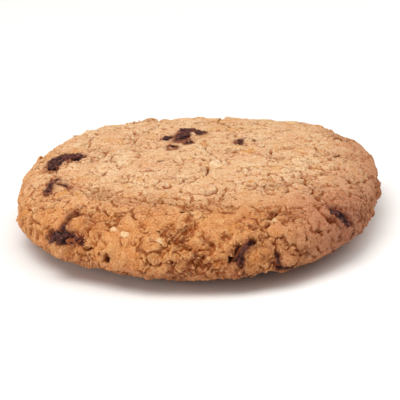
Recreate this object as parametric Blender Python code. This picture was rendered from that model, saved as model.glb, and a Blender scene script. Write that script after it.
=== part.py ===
"""An oatmeal raisin cookie: one thick baked disc of oat dough, with raisins set in sockets in its skin.

Frame: metres, +Z up. The cookie rests on its flat underside at z = 0, centred on the Z axis.
-Y is the near side, where three raisins show in the flank, and -X is the side with the largest raisin.

Run it with: blender --background --python part.py
"""

import math
import random

import bmesh
import bpy
import numpy as np
from mathutils import Matrix, Vector, noise

MM = 0.001
NOISE_SEED = 7
noise.seed_set(NOISE_SEED)  # without it, noise_vector differs from run to run

# The dough's form
RADIUS = 40.15 * MM  # mean radius of the outline
HEIGHT = 15.4 * MM  # flat underside to the middle of the top, without the relief
WAIST = 0.36 * HEIGHT  # height at which the flank is widest
FOOT = 0.72  # radius of the flat underside, as a share of the outline's
SHOULDER_POWER = 3.0  # how square the turn from flank to top is: 2 is an ellipse
FLANK_POWER = 1.55  # the same for the turn from the flank to the underside
OUTLINE_WAVES = {2: (-0.026, 0.008), 3: (0.002, 0.021), 4: (-0.019, 0.015), 5: (-0.002, -0.005)}
OUTLINE_SHIFT = Vector((-0.33 * MM, 0.88 * MM, 0.0))  # centres the cookie's box on the Z axis

# The mesh: rings of points round the axis, spaced evenly up the flank and over the top
SPACING = 1.5 * MM
FOOT_RINGS = 4  # rings across the flat underside, which needs few
FOOT_SPACING = 4.0 * MM

# The dough's relief
SWELL, SWELL_SPAN = 0.55 * MM, 15.0 * MM  # broad unevenness
LUMP, LUMP_SPAN = 0.45 * MM, 5.5 * MM  # lumps of oat under the skin
PLATE_SPAN = 10.5 * MM  # the baked skin is cracked into plates about this wide
PLATE_LIFT, PLATE_TILT = 0.35 * MM, 0.75 * MM
SEAM_DEPTH, SEAM_WIDTH = 1.05 * MM, 0.11  # width as a share of a plate
FLAKE_COUNT = 150
FLAKE_LENGTH, FLAKE_WIDTH = (2.6 * MM, 4.2 * MM), (1.9 * MM, 3.0 * MM)  # half sizes of a rolled oat
FLAKE_LIFT = (0.15 * MM, 0.65 * MM)
FLAKE_TILT = 0.35 * MM
FLAKE_SEED = 11

# Cracks seen from a step away: plan x and y of both ends, width and depth, all in mm
CRACKS = (
    ((-20.5, 10.5), (-20.5, 3.5), 1.3, 1.1),
    ((-20.5, 3.5), (-25.5, 0.5), 1.5, 1.0),
    ((-33.0, -19.0), (-24.0, -17.0), 1.4, 1.5),
    ((-24.0, -17.0), (-18.0, -16.0), 1.3, 1.1),
    ((-24.5, -29.0), (-20.5, -22.5), 2.4, 1.5),
    ((-14.0, -22.0), (-3.0, -26.5), 1.6, 1.1),
    ((-5.0, -26.5), (3.0, -29.0), 1.5, 1.0),
    ((1.0, -5.0), (1.6, -12.5), 1.1, 1.4),
    ((1.6, -25.0), (6.0, -19.5), 1.2, 1.0),
    ((10.0, -19.0), (17.5, -16.5), 1.9, 1.3),
    ((12.5, -34.5), (16.0, -27.0), 1.9, 1.6),
    ((20.5, -9.0), (22.5, -19.0), 1.5, 1.1),
    ((22.5, -19.0), (27.0, -26.0), 1.8, 1.2),
    ((23.0, 0.5), (33.0, 3.5), 1.5, 1.1),
    ((15.5, -2.0), (20.0, -1.8), 1.4, 1.0),
    ((29.0, -8.5), (35.0, -13.0), 1.5, 1.2),
    ((-9.0, -38.5), (6.0, -40.0), 2.4, 1.2),
    ((-15.0, 20.0), (-13.5, 12.0), 1.3, 0.9),
    ((4.0, 28.0), (9.0, 17.0), 1.5, 1.0),
    ((-8.0, 33.0), (6.0, 35.5), 1.7, 1.2),
)

# Raisins: bearing round the Z axis and climb up the profile in degrees (0 at the waist, 90 at the
# middle of the top, below 0 under the waist), turn of the long axis from level, half length, half
# width and half depth in mm, and how far the middle is sunk below the skin in mm
RAISINS = {
    "raisin_left": (169.5, 49.0, -35.0, 5.0, 4.0, 2.3, 1.6),
    "raisin_left_covered": (200.5, 45.0, 12.0, 3.9, 2.7, 2.0, 1.5),
    "raisin_front_left": (228.0, 14.0, 36.0, 5.6, 3.9, 2.5, 1.7),
    "raisin_top": (102.5, 79.0, 14.0, 5.2, 4.0, 2.1, 1.5),
    "raisin_top_small": (135.0, 85.0, -20.0, 2.6, 1.7, 1.5, 1.0),
    "raisin_top_right": (41.5, 79.8, 24.0, 3.0, 2.2, 1.8, 1.3),
    "raisin_front": (281.2, 4.5, 56.0, 4.4, 2.7, 2.2, 1.7),
    "raisin_front_low": (293.6, -8.0, -12.0, 3.4, 2.4, 2.2, 1.5),
    "raisin_right": (317.0, 14.0, -50.0, 4.8, 2.3, 2.2, 1.6),
    "raisin_back_left": (127.0, 12.0, 20.0, 4.6, 2.8, 2.2, 1.5),
    "raisin_back_right": (48.0, 22.0, -30.0, 4.2, 2.6, 2.1, 1.4),
}
RAISIN_ROUNDS, RAISIN_SIDES = 9, 14  # rings along a raisin, and points round each
RAISIN_FOLDS = 5  # wrinkles round a raisin
FOLD_DEPTH = 0.2  # as a share of a raisin's half width
RAISIN_BEND = 0.12  # how far a raisin's ends curve aside, as a share of its half length
SOCKET_GAP = 0.42 * MM

DOUGH_BROWN = (0.603, 0.319, 0.137, 1.0)
RAISIN_BROWN = (0.045, 0.018, 0.016, 1.0)


def clear_scene():
    for obj in list(bpy.data.objects):
        bpy.data.objects.remove(obj)


def matte(name, colour, roughness):
    material = bpy.data.materials.new(name)
    material.use_nodes = True
    shader = material.node_tree.nodes["Principled BSDF"]
    shader.inputs["Base Color"].default_value = colour
    shader.inputs["Roughness"].default_value = roughness
    shader.inputs["Metallic"].default_value = 0.0
    material.diffuse_color = colour
    return material


def new_object(name, mesh, material):
    obj = bpy.data.objects.new(name, mesh)
    mesh.materials.append(material)
    bpy.context.scene.collection.objects.link(obj)
    return obj


def smooth_step(low, high, value):
    share = np.clip((value - low) / (high - low), 0.0, 1.0)
    return share * share * (3.0 - 2.0 * share)


def outline(bearing):
    """The outline's radius at a bearing in radians."""
    waves = 0.0
    for count, (even, odd) in OUTLINE_WAVES.items():
        waves += even * math.cos(count * bearing) + odd * math.sin(count * bearing)
    return RADIUS * (1.0 + waves)


def profile(climb):
    """The share of the outline's radius and the height at a climb in radians."""
    rise, reach = abs(math.sin(climb)), max(math.cos(climb), 0.0)
    if climb >= 0.0:
        power = 2.0 / SHOULDER_POWER
        return reach**power, WAIST + (HEIGHT - WAIST) * rise**power
    power = 2.0 / FLANK_POWER
    return FOOT + (1.0 - FOOT) * reach**power, WAIST - WAIST * rise**power


def skin_point(bearing, climb):
    """The point of the smooth skin at a bearing and a climb in radians."""
    share, height = profile(climb)
    reach = outline(bearing) * share
    return Vector((reach * math.cos(bearing), reach * math.sin(bearing), height)) + OUTLINE_SHIFT


def skin_normal(bearing, climb):
    step = 0.002
    along = skin_point(bearing + step, climb) - skin_point(bearing - step, climb)
    up = skin_point(bearing, climb + step) - skin_point(bearing, climb - step)
    return along.cross(up).normalized()


def ring_climbs():
    """The climbs of the rings, evenly spaced from the edge of the foot to near the middle of the top."""
    fine = [math.radians(-90.0 + 0.25 * i) for i in range(721)]
    path = [(RADIUS * share, height) for share, height in map(profile, fine)]
    lengths = [0.0]
    for (x0, z0), (x1, z1) in zip(path, path[1:]):
        lengths.append(lengths[-1] + math.hypot(x1 - x0, z1 - z0))
    count = round(lengths[-1] / SPACING)
    wanted = [lengths[-1] * i / count for i in range(count)]
    return list(np.interp(wanted, lengths, fine))


def stitch(bm, inner, outer):
    """Triangles between two rings of corners, on whichever ring's next corner comes round first."""
    i, j = 0, 0
    while i < len(inner) or j < len(outer):
        near, far = inner[i % len(inner)], outer[j % len(outer)]
        if (i + 1) / len(inner) <= (j + 1) / len(outer):
            i += 1
            bm.faces.new((near, inner[i % len(inner)], far))
        else:
            j += 1
            bm.faces.new((near, outer[j % len(outer)], far))


def close_ring(bm, ring, centre):
    middle = bm.verts.new(centre)
    for j in range(len(ring)):
        bm.faces.new((ring[j - 1], ring[j], middle))


def smooth_dough():
    """The dough without its relief: rings stitched from the middle of the underside over to the top."""
    bm = bmesh.new()
    rings = []
    for i in range(1, FOOT_RINGS + 1):
        share = i / (FOOT_RINGS + 1)
        count = max(8, round(2.0 * math.pi * RADIUS * FOOT * share / FOOT_SPACING))
        edge = [skin_point(2.0 * math.pi * j / count, -0.5 * math.pi) for j in range(count)]
        rings.append([OUTLINE_SHIFT.lerp(point, share) for point in edge])
    for climb in ring_climbs():
        count = max(6, round(2.0 * math.pi * RADIUS * profile(climb)[0] / SPACING))
        rings.append([skin_point(2.0 * math.pi * j / count, climb) for j in range(count)])
    rings = [[bm.verts.new(point) for point in ring] for ring in rings]
    for inner, outer in zip(rings, rings[1:]):
        stitch(bm, inner, outer)
    close_ring(bm, rings[0], OUTLINE_SHIFT)
    close_ring(bm, rings[-1], OUTLINE_SHIFT + Vector((0.0, 0.0, HEIGHT)))
    bmesh.ops.recalc_face_normals(bm, faces=bm.faces)
    bm.normal_update()
    return bm


def swell(point):
    return SWELL * noise.noise(point / SWELL_SPAN) + LUMP * noise.noise(point / LUMP_SPAN)


def plate(point):
    """The lift of the cracked skin: each plate has its own height and tilt, with a seam round it."""
    bent = point / PLATE_SPAN + 0.22 * noise.noise_vector(point / (0.6 * PLATE_SPAN))
    distances, middles = noise.voronoi(bent)
    lean = noise.noise_vector(middles[0] * 7.3)
    lift = PLATE_LIFT * lean.z + PLATE_TILT * lean.dot(bent - middles[0])
    open_share = 0.5 + 0.5 * noise.noise(point / (1.3 * PLATE_SPAN) + Vector((4.0, 9.0, 2.0)))
    seam = math.exp(-(((distances[1] - distances[0]) / SEAM_WIDTH) ** 2))
    return lift - SEAM_DEPTH * seam * min(1.0, 1.5 * open_share)


def scattered_flakes():
    """Rolled oats lying in the skin: each one's middle, two axes over half sizes, lift and tilt."""
    draw = random.Random(FLAKE_SEED)
    flakes = []
    while len(flakes) < FLAKE_COUNT:
        bearing = draw.uniform(0.0, 2.0 * math.pi)
        climb = math.asin(draw.uniform(-0.55, 1.0))
        middle, normal = skin_point(bearing, climb), skin_normal(bearing, climb)
        level = normal.orthogonal().normalized()
        level.rotate(Matrix.Rotation(draw.uniform(0.0, math.pi), 3, normal))
        across = normal.cross(level)
        flakes.append((
            middle,
            level / draw.uniform(*FLAKE_LENGTH),
            across / draw.uniform(*FLAKE_WIDTH),
            draw.uniform(*FLAKE_LIFT),
            draw.uniform(-FLAKE_TILT, FLAKE_TILT),
        ))
    return flakes


def flake_relief(points, ground):
    """The relief with the flakes laid over the ground: each is a low plateau with a sharp rim."""
    relief = ground.copy()
    for middle, level, across, lift, tilt in scattered_flakes():
        offsets = points - np.array(middle)
        along, aside = offsets @ np.array(level), offsets @ np.array(across)
        out = np.hypot(along, aside)
        near = out < 1.6
        top = lift + tilt * along[near] - 2.2 * lift * np.maximum(0.0, out[near] - 0.75)
        relief[near] = np.maximum(relief[near], top)
    return relief


def crack_relief(points):
    """How far the named cracks cut into the top and the flank, in metres."""
    cut = np.zeros(len(points))
    for start, end, width, depth in CRACKS:
        first, last = np.array(start) * MM, np.array(end) * MM
        run = last - first
        offsets = points[:, :2] - first
        share = np.clip(offsets @ run / (run @ run), 0.0, 1.0)
        aside = np.linalg.norm(offsets - share[:, None] * run, axis=1)
        fade = 1.0 - 0.6 * np.abs(2.0 * share - 1.0) ** 3
        groove = depth * MM * fade * np.exp(-((aside / (0.6 * width * MM)) ** 2))
        cut = np.maximum(cut, groove * (points[:, 2] > 0.3 * HEIGHT))
    return cut


def raisin_frames():
    """Each raisin's name, middle, three axes (along, across and out of the skin) and half sizes."""
    frames = []
    for name, (bearing, climb, turn, length, width, depth, sunk) in RAISINS.items():
        bearing, climb = math.radians(bearing), math.radians(climb)
        normal = skin_normal(bearing, climb)
        level = Vector((-math.sin(bearing), math.cos(bearing), 0.0))
        level = (level - level.dot(normal) * normal).normalized()
        level.rotate(Matrix.Rotation(math.radians(turn), 3, normal))
        middle = skin_point(bearing, climb) - normal * sunk * MM
        axes = Matrix((level, normal.cross(level), normal)).transposed()
        frames.append((name, middle, axes, Vector((length, width, depth)) * MM))
    return frames


def nest_relief(points, relief):
    """The relief settled to a low lip round each raisin, so that the raisin shows."""
    settled = relief.copy()
    for _, middle, axes, half in raisin_frames():
        local = (points - np.array(middle)) @ np.array(axes)
        out = np.linalg.norm(local / (np.array(half) + 1.4 * MM), axis=1)
        near = 1.0 - smooth_step(0.85, 1.5, out)
        settled = settled * (1.0 - near) + near * np.minimum(settled, 0.05 * MM)
    return settled


def make_dough(material):
    bm = smooth_dough()
    places = [v.co.copy() for v in bm.verts]
    points = np.array(places)
    ground = np.array([swell(p) + plate(p) for p in places])
    relief = flake_relief(points, ground) - crack_relief(points)
    relief = nest_relief(points, relief)
    fade = smooth_step(0.0, 2.5 * MM, points[:, 2])
    for vertex, lift, share in zip(bm.verts, relief, fade):
        vertex.co = vertex.co + vertex.normal * float(lift * share)
        vertex.co.z = max(vertex.co.z, 0.0)
    mesh = bpy.data.meshes.new("dough")
    bm.to_mesh(mesh)
    bm.free()
    return new_object("dough", mesh, material)


def raisin_skin(seed, half, swollen):
    """Rings of points for one raisin in its own axes: a bean shape with wrinkles that run along it."""
    shift = Vector((3.1 * seed, 1.7 * seed, 0.6 * seed))
    rings = []
    for i in range(1, RAISIN_ROUNDS):
        along = math.cos(math.pi * i / RAISIN_ROUNDS)
        girth = math.sin(math.pi * i / RAISIN_ROUNDS) ** 0.8
        ring = []
        for j in range(RAISIN_SIDES):
            turn = 2.0 * math.pi * j / RAISIN_SIDES
            bend = 0.6 * noise.noise(shift + Vector((along, 0.0, 0.0)))
            fold = math.cos(RAISIN_FOLDS * (turn + bend) + seed)
            lump = noise.noise(shift + Vector((along * 1.6, math.cos(turn), math.sin(turn))))
            reach = girth * (1.0 + FOLD_DEPTH * fold * girth + 0.16 * lump)
            ring.append(Vector((
                along * (half.x + swollen),
                reach * math.cos(turn) * (half.y + swollen) + RAISIN_BEND * half.x * along * along,
                reach * math.sin(turn) * (half.z + swollen),
            )))
        rings.append(ring)
    return rings


def raisin_mesh(name, seed, half, swollen=0.0):
    bm = bmesh.new()
    rings = [[bm.verts.new(point) for point in ring] for ring in raisin_skin(seed, half, swollen)]
    for near, far in zip(rings, rings[1:]):
        for j in range(RAISIN_SIDES):
            bm.faces.new((near[j - 1], near[j], far[j]))
            bm.faces.new((near[j - 1], far[j], far[j - 1]))
    for ring, end in ((rings[0], half.x + swollen), (rings[-1], -half.x - swollen)):
        tip = bm.verts.new((end, RAISIN_BEND * half.x, 0.0))
        for j in range(RAISIN_SIDES):
            bm.faces.new((ring[j - 1], ring[j], tip))
    bmesh.ops.recalc_face_normals(bm, faces=bm.faces)
    mesh = bpy.data.meshes.new(name)
    bm.to_mesh(mesh)
    bm.free()
    return mesh


def make_raisins(material, sockets):
    """A raisin in each place, and the slightly larger shape that cuts its socket."""
    made = []
    for seed, (name, middle, axes, half) in enumerate(raisin_frames(), start=1):
        place = Matrix.Translation(middle) @ axes.to_4x4()
        raisin = new_object(name, raisin_mesh(name, seed, half), material)
        raisin.matrix_world = place
        raisin.data.shade_smooth()
        made.append(raisin)
        socket = raisin_mesh("socket_" + name, seed, half, SOCKET_GAP)
        cutter = bpy.data.objects.new("socket_" + name, socket)
        cutter.matrix_world = place
        cutter.hide_render = True
        cutter.display_type = "WIRE"
        sockets.objects.link(cutter)
    return made


def main():
    clear_scene()
    sockets = bpy.data.collections.new("sockets")
    bpy.context.scene.collection.children.link(sockets)
    cookie = bpy.data.objects.new("cookie", None)
    bpy.context.scene.collection.objects.link(cookie)

    dough = make_dough(matte("baked oat dough", DOUGH_BROWN, 0.85))
    raisins = make_raisins(matte("raisin skin", RAISIN_BROWN, 0.45), sockets)
    cut = dough.modifiers.new("sockets", "BOOLEAN")
    cut.operation = "DIFFERENCE"
    cut.solver = "EXACT"
    cut.operand_type = "COLLECTION"
    cut.collection = sockets
    for piece in [dough, *raisins]:
        piece.parent = cookie


main()
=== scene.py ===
# %% [markdown]
# An oatmeal raisin cookie
#
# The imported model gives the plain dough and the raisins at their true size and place. This lesson
# dresses them: the baked skin with its cracks, pits and oats, the wrinkled raisins, loose crumbs,
# the light and the camera. Everything is in metres, +Z is up and the cookie lies on z = 0.

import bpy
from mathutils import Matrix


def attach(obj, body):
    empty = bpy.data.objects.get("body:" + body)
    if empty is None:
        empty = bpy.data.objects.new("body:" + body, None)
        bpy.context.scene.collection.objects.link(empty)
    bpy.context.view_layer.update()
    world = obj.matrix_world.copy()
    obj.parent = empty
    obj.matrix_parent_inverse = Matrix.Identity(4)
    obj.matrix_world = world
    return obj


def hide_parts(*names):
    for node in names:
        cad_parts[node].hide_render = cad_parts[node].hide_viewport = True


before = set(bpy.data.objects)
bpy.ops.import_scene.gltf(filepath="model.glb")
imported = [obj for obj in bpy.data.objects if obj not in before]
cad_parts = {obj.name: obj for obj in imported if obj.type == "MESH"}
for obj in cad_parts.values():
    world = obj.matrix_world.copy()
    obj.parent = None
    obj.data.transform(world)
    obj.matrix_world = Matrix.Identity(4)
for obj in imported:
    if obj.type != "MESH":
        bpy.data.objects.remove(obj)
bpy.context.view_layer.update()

# %% Libraries and units
import math
import random

import bpy
import numpy as np
from mathutils import Euler, Matrix, Vector, kdtree, noise
from mathutils.bvhtree import BVHTree

MM = 0.001
NOISE_SEED = 7
noise.seed_set(NOISE_SEED)  # as in the CAD source; without it, noise_vector differs from run to run

# %% [markdown]
# The dough's smooth form
#
# A spoonful of dough spreads on the baking sheet into a thick disc with a flat underside, a full
# rounded flank and a nearly level top. Its outline is a circle with a few slow waves, and its
# profile is two quarter curves that meet at the waist. These values are the ones that the CAD
# source uses, so the dressed dough keeps the solid's shape.

# %% The form's values
RADIUS = 40.15 * MM
HEIGHT = 15.4 * MM
WAIST = 0.36 * HEIGHT
FOOT = 0.72
SHOULDER_POWER = 3.0
FLANK_POWER = 1.55
OUTLINE_WAVES = {2: (-0.026, 0.008), 3: (0.002, 0.021), 4: (-0.019, 0.015), 5: (-0.002, -0.005)}
OUTLINE_SHIFT = Vector((-0.33 * MM, 0.88 * MM, 0.0))


def profile(climb):
    """The share of the outline's radius and the height at a climb: 0 at the waist, pi/2 on top."""
    rise, reach = abs(math.sin(climb)), max(math.cos(climb), 0.0)
    if climb >= 0.0:
        power = 2.0 / SHOULDER_POWER
        return reach**power, WAIST + (HEIGHT - WAIST) * rise**power
    power = 2.0 / FLANK_POWER
    return FOOT + (1.0 - FOOT) * reach**power, WAIST - WAIST * rise**power


def outline_share(bearing):
    """The outline's radius at a bearing, as a share of the mean radius. It takes arrays too."""
    waves = 1.0
    for count, (even, odd) in OUTLINE_WAVES.items():
        waves = waves + even * np.cos(count * bearing) + odd * np.sin(count * bearing)
    return waves


def skin_point(bearing, climb):
    """The point of the smooth skin at a bearing and a climb in radians."""
    share, height = profile(climb)
    reach = RADIUS * float(outline_share(bearing)) * share
    return Vector((reach * math.cos(bearing), reach * math.sin(bearing), height)) + OUTLINE_SHIFT


def skin_normal(bearing, climb):
    step = 0.002
    along = skin_point(bearing + step, climb) - skin_point(bearing - step, climb)
    up = skin_point(bearing, climb + step) - skin_point(bearing, climb - step)
    return along.cross(up).normalized()


# %% [markdown]
# Raising the form from a circle
#
# By hand this is a circle at the foot that is extruded upwards again and again, each new ring
# scaled to the profile and the last one closed. The rings are then pushed out or in to give the
# outline its waves, and a voxel remesh turns the long faces into an even fine grid that can
# carry small relief.

# %% Helpers for selecting and applying
def only(obj):
    """Makes obj the one selected and active object."""
    bpy.ops.object.select_all(action="DESELECT")
    obj.select_set(True)
    bpy.context.view_layer.objects.active = obj
    return obj


def apply_modifier(obj, name, kind, **settings):
    modifier = obj.modifiers.new(name, kind)
    for key, value in settings.items():
        setattr(modifier, key, value)
    only(obj)
    bpy.ops.object.modifier_apply(modifier=name)


def points_of(obj):
    flat = np.empty(3 * len(obj.data.vertices))
    obj.data.vertices.foreach_get("co", flat)
    return flat.reshape(-1, 3)


def normals_of(obj):
    flat = np.empty(3 * len(obj.data.vertices))
    obj.data.vertex_normals.foreach_get("vector", flat)
    return flat.reshape(-1, 3)


def move_points(obj, points):
    obj.data.vertices.foreach_set("co", np.asarray(points).ravel())
    obj.data.update()


# %% Extrude the dough
RINGS = 44
SIDES = 224
VOXEL = 0.25 * MM

bpy.ops.object.select_all(action="DESELECT")
bpy.ops.mesh.primitive_circle_add(vertices=SIDES, radius=RADIUS * FOOT, fill_type="NGON")
dough = bpy.context.object
dough.name = "dough_baked"
bpy.ops.object.mode_set(mode="EDIT")
bpy.ops.mesh.select_all(action="SELECT")
last_share, last_height = FOOT, 0.0
for ring in range(1, RINGS):
    climb = math.radians(-90.0 + 180.0 * ring / RINGS)
    share, height = profile(climb)
    step = (0.0, 0.0, height - last_height)
    bpy.ops.mesh.extrude_region_move(TRANSFORM_OT_translate={"value": step})
    grow = share / last_share
    bpy.ops.transform.resize(value=(grow, grow, 1.0), center_override=(0.0, 0.0, height))
    last_share, last_height = share, height
bpy.ops.mesh.select_all(action="SELECT")
bpy.ops.mesh.normals_make_consistent(inside=False)
bpy.ops.object.mode_set(mode="OBJECT")

plan = points_of(dough)
share = outline_share(np.arctan2(plan[:, 1], plan[:, 0]))
plan[:, 0] = plan[:, 0] * share + OUTLINE_SHIFT.x
plan[:, 1] = plan[:, 1] * share + OUTLINE_SHIFT.y
move_points(dough, plan)
apply_modifier(dough, "even grid", "REMESH", mode="VOXEL", voxel_size=VOXEL)
box = [round(1000 * v, 1) for v in dough.dimensions]
print("dough grid:", len(dough.data.vertices), "points, box mm", box)

# %% [markdown]
# The relief of the baked skin
#
# The dough swells in broad lumps. Its skin dries first and cracks into plates that tilt. Rolled oats
# lie in it like shingles, each a low oval with a sharp rim. Where the crust has broken up, it is
# small chips and grains with gaps and pores between them. Sculpting all of this by hand would take
# days, so each kind is a height above or below the smooth form instead, worked out for every point
# of the grid, and the point is then moved along its normal by the sum.

# %% Fields of noise
def tree_of(points):
    """A search tree that finds the points near a place."""
    tree = kdtree.KDTree(len(points))
    for index, point in enumerate(points):
        tree.insert(point, index)
    tree.balance()
    return tree


start = points_of(dough)
outward = normals_of(dough)
nearest = tree_of(start)
steepness = 1.0 - np.clip(outward[:, 2], 0.0, 1.0)  # 0 on the level top, 1 on the flank


def smooth_step(low, high, value):
    share = np.clip((value - low) / (high - low), 0.0, 1.0)
    return share * share * (3.0 - 2.0 * share)


def noise_at(points, span, offset=0.0):
    """Soft noise from about -1 to 1 whose lumps are about span wide."""
    return np.array([noise.noise(Vector(p)) for p in points / span + offset])


def fractal_at(points, span, octaves, offset=0.0, falloff=0.75):
    """Noise whose largest lumps are about span wide, with finer and finer ones on them."""
    return np.array([noise.fractal(Vector(p), falloff, 2.0, octaves) for p in points / span + offset])


def bent(points, span, amount, offset=0.0):
    """The points pushed about by noise, so that what is drawn round them gets a ragged edge."""
    push = np.array([noise.noise_vector(Vector(p)) for p in points / span + offset])
    return points + amount * push


def chips_at(points, span, gap_width, hole_width, offset=0.0):
    """Cells about span wide, each one chip of crust: (height from -1 to 1, own tone, gap, hole).

    The gap is 1 on the line between two chips, and the hole 1 where three of them meet.
    """
    height, own_tone, gap, hole = (np.empty(len(points)) for _ in range(4))
    for index, point in enumerate(points / span + offset):
        place = Vector(point)
        distances, middles = noise.voronoi(place)
        lean = noise.noise_vector(middles[0] * 7.3)
        height[index] = lean.z + 1.6 * lean.dot(place - middles[0])
        own_tone[index] = lean.x
        gap[index] = math.exp(-(((distances[1] - distances[0]) / gap_width) ** 2))
        hole[index] = math.exp(-(((distances[2] - distances[0]) / hole_width) ** 2))
    return height, own_tone, gap, hole


def skin_place(bearing, climb):
    """The same as skin_point, but from degrees and as an array."""
    return np.array(skin_point(math.radians(bearing), math.radians(climb)))


def stroke_distance(points, first, last):
    """Each point's distance from the straight line between two places, and its share along it."""
    run = last - first
    along = np.clip((points - first) @ run / (run @ run), 0.0, 1.0)
    return np.linalg.norm(points - first - along[:, None] * run, axis=1), along


ragged = bent(start, 1.1 * MM, 0.5 * MM) + (bent(start, 0.5 * MM, 0.22 * MM, 5.0) - start)
wandering = bent(start, 3.0 * MM, 1.2 * MM) + (ragged - start)
# The flank and the near rim of the top are rougher than the middle. Their colour is also darkened:
# on the flank partly real browning and partly painted shade, on the near rim painted shade
from_middle = np.hypot(0.72 * start[:, 0], np.minimum(start[:, 1], 0.0)) / RADIUS
near_side = smooth_step(0.4, 0.85, from_middle)
baked = np.maximum(smooth_step(0.1, 0.7, steepness), near_side)
print("skin grid:", len(start), "points")

# %% Swelling and cracked plates, as in the CAD source
SWELL, SWELL_SPAN = 0.55 * MM, 15.0 * MM
LUMP, LUMP_SPAN = 0.45 * MM, 5.5 * MM
PLATE_SPAN = 10.5 * MM
PLATE_LIFT, PLATE_TILT = 0.35 * MM, 0.75 * MM
SEAM_DEPTH, SEAM_WIDTH = 1.05 * MM, 0.11


def plate(point):
    """At a point: the plate's lift, and how near and open the seam is, for a thin and a wide band."""
    shifted = point / PLATE_SPAN + 0.22 * noise.noise_vector(point / (0.6 * PLATE_SPAN))
    shifted_fine = shifted + 0.05 * noise.noise_vector(point / (0.14 * PLATE_SPAN))
    shifted_fine += 0.025 * noise.noise_vector(point / (0.06 * PLATE_SPAN))
    distances, middles = noise.voronoi(shifted_fine)
    lean = noise.noise_vector(middles[0] * 7.3)
    lift = PLATE_LIFT * lean.z + PLATE_TILT * lean.dot(shifted - middles[0])
    patch = noise.noise(point / (1.3 * PLATE_SPAN) + Vector((4.0, 9.0, 2.0)))
    open_share = min(1.0, 0.75 + 0.75 * patch)
    apart = (distances[1] - distances[0]) / SEAM_WIDTH
    thin, wide = math.exp(-((apart / 0.5) ** 2)), math.exp(-((apart / 1.9) ** 2))
    return lift, open_share * thin, open_share * wide


plates = np.array([plate(Vector(p)) for p in start])
swelling = (0.55 + 0.25 * baked) * (SWELL * noise_at(start, SWELL_SPAN) + plates[:, 0])
# A seam opens only here and there, and is a row of ragged pits more than a clean line
torn = smooth_step(-0.25, 0.3, noise_at(start, 4.0 * MM, 7.0))
pitted = 0.5 + 0.5 * smooth_step(-0.4, 0.1, noise_at(start, 1.3 * MM, 81.0))
cut = SEAM_DEPTH * plates[:, 1] * torn * pitted * (1.0 - 0.5 * steepness)
print("swelling, mm:", round(1000 * swelling.min(), 2), "to", round(1000 * swelling.max(), 2))

# %% Named cracks, ragged where the CAD source has them straight
# Plan x and y of both ends, width and depth, all in mm
CRACKS = (
    ((-20.5, 10.5), (-20.5, 3.5), 1.3, 1.1),
    ((-20.5, 3.5), (-25.5, 0.5), 1.5, 1.0),
    ((-33.0, -19.0), (-24.0, -17.0), 1.4, 1.5),
    ((-24.0, -17.0), (-18.0, -16.0), 1.3, 1.1),
    ((-24.5, -29.0), (-20.5, -22.5), 2.4, 1.5),
    ((-14.0, -22.0), (-3.0, -26.5), 1.6, 1.1),
    ((-5.0, -26.5), (3.0, -29.0), 1.5, 1.0),
    ((1.0, -5.0), (1.6, -12.5), 1.1, 1.4),
    ((1.6, -25.0), (6.0, -19.5), 1.2, 1.0),
    ((10.0, -19.0), (17.5, -16.5), 1.9, 1.3),
    ((12.5, -34.5), (16.0, -27.0), 1.9, 1.6),
    ((20.5, -9.0), (22.5, -19.0), 1.5, 1.1),
    ((22.5, -19.0), (27.0, -26.0), 1.8, 1.2),
    ((23.0, 0.5), (33.0, 3.5), 1.5, 1.1),
    ((15.5, -2.0), (20.0, -1.8), 1.4, 1.0),
    ((29.0, -8.5), (35.0, -13.0), 1.5, 1.2),
    ((-9.0, -38.5), (6.0, -40.0), 2.4, 1.2),
    ((-15.0, 20.0), (-13.5, 12.0), 1.3, 0.9),
    ((4.0, 28.0), (9.0, 17.0), 1.5, 1.0),
    ((-8.0, 33.0), (6.0, 35.5), 1.2, 0.7),
)
near_crack = np.zeros(len(start))
for first, last, width, depth in CRACKS:
    begin, end = np.array(first) * MM, np.array(last) * MM
    aside, along = stroke_distance(wandering[:, :2], begin, end)
    fade = pitted * (1.0 - 0.6 * np.abs(2.0 * along - 1.0) ** 3) * (start[:, 2] > 0.3 * HEIGHT)
    cut = np.maximum(cut, depth * MM * fade * np.exp(-((aside / (0.3 * width * MM)) ** 2)))
    near_crack = np.maximum(near_crack, fade * np.exp(-((aside / (1.4 * width * MM)) ** 2)))
print("cracks:", len(CRACKS))

# %% Slits and dark pits in the flank
# Bearing and climb in degrees of both ends, width and depth in mm
SLITS = (
    (203.0, 23.0, 211.0, 38.7, 0.5, 0.8),
    (211.0, 38.7, 213.2, 42.0, 0.9, 1.6),
    (236.3, 7.0, 237.0, 9.5, 0.7, 1.2),
    (242.4, 1.8, 243.2, 5.0, 1.0, 1.3),
    (239.8, 5.0, 240.3, 7.5, 0.4, 0.8),
    (258.5, 2.0, 260.5, 16.0, 0.6, 0.8),
    (265.5, -6.0, 266.5, 14.0, 0.6, 0.8),
    (290.5, 37.5, 296.3, 42.5, 0.6, 1.1),
    (301.0, 10.0, 301.4, 14.0, 0.45, 0.9),
    (303.0, 15.0, 307.4, 14.0, 0.35, 0.8),
    (320.2, 1.0, 319.4, 9.0, 0.8, 1.2),
    (226.1, 34.0, 226.2, 44.5, 0.45, 0.9),
    (313.4, 33.0, 319.0, 27.5, 0.6, 0.9),
)
for bearing0, climb0, bearing1, climb1, width, depth in SLITS:
    aside, _ = stroke_distance(ragged, skin_place(bearing0, climb0), skin_place(bearing1, climb1))
    cut = np.maximum(cut, depth * MM * np.exp(-((aside / (0.5 * width * MM)) ** 4)))
    near_crack = np.maximum(near_crack, 0.8 * np.exp(-((aside / (1.2 * MM)) ** 2)))
print("slits:", len(SLITS))
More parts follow.
